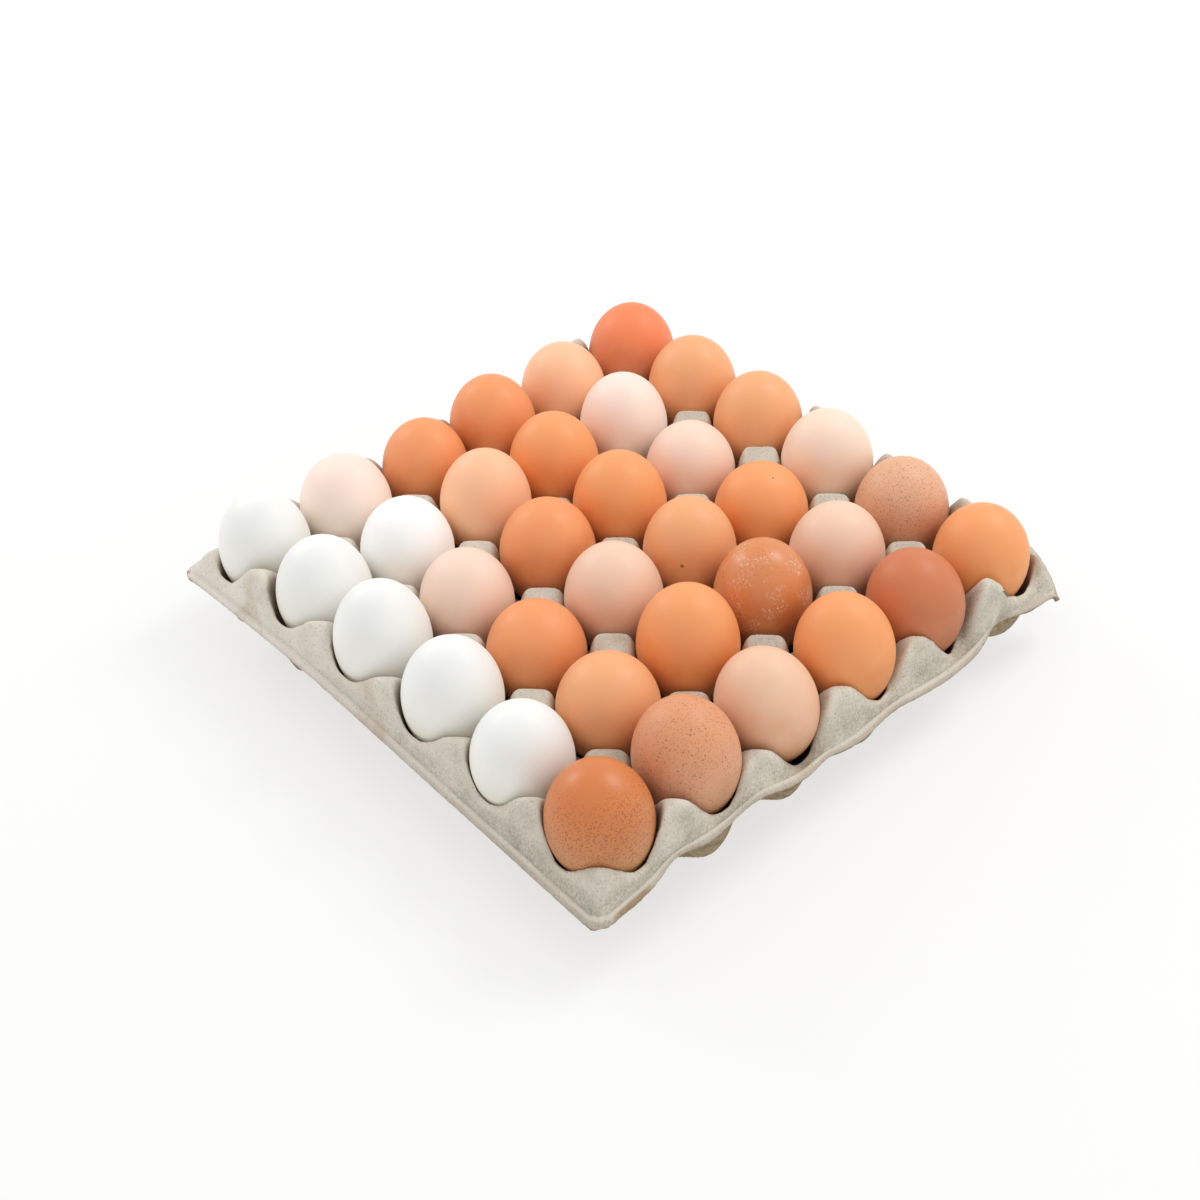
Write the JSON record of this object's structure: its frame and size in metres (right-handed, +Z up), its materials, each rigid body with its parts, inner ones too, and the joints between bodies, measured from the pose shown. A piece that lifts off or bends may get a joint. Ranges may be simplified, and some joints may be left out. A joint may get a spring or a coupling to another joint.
{
  "type": "tray of eggs",
  "caption": "Open moulded pulp egg tray with a square grid of cups, holding whole hen's eggs in white, cream, tan, orange and brown.",
  "frame": {"origin": "on the ground under the middle of the tray, in the plane of the cups' undersides", "axes": "+Z up out of the cups, +X along the front side to the right, +Y from the front side to the back"},
  "size_m": [0.2986, 0.2986, 0.0812],
  "materials": {
    "pulp": "rough moulded grey-beige paper pulp",
    "shell_white": "smooth white eggshell",
    "shell_cream": "smooth pale cream-pink eggshell",
    "shell_pink": "smooth pale pink eggshell",
    "shell_tan": "smooth tan eggshell",
    "shell_peach": "smooth peach eggshell",
    "shell_orange": "smooth orange-brown eggshell",
    "shell_brown": "smooth brown eggshell",
    "shell_red": "smooth red-brown eggshell",
    "shell_speckled": "smooth speckled brown eggshell"
  },
  "bodies": {
    "root": {"tray": "pulp", "egg_1_1": "shell_white", "egg_1_2": "shell_cream", "egg_1_3": "shell_brown", "egg_1_4": "shell_brown", "egg_1_5": "shell_peach", "egg_1_6": "shell_red", "egg_2_1": "shell_white", "egg_2_2": "shell_cream", "egg_2_3": "shell_tan", "egg_2_4": "shell_orange", "egg_2_5": "shell_cream", "egg_2_6": "shell_tan", "egg_3_1": "shell_white", "egg_3_2": "shell_pink", "egg_3_3": "shell_brown", "egg_3_4": "shell_orange", "egg_3_5": "shell_pink", "egg_3_6": "shell_tan", "egg_4_1": "shell_white", "egg_4_2": "shell_brown", "egg_4_3": "shell_pink", "egg_4_4": "shell_tan", "egg_4_5": "shell_orange", "egg_4_6": "shell_cream", "egg_5_1": "shell_white", "egg_5_2": "shell_tan", "egg_5_3": "shell_orange", "egg_5_4": "shell_brown", "egg_5_5": "shell_pink", "egg_5_6": "shell_speckled", "egg_6_1": "shell_brown", "egg_6_2": "shell_speckled", "egg_6_3": "shell_tan", "egg_6_4": "shell_orange", "egg_6_5": "shell_red", "egg_6_6": "shell_orange"}
  },
  "joints": []
}
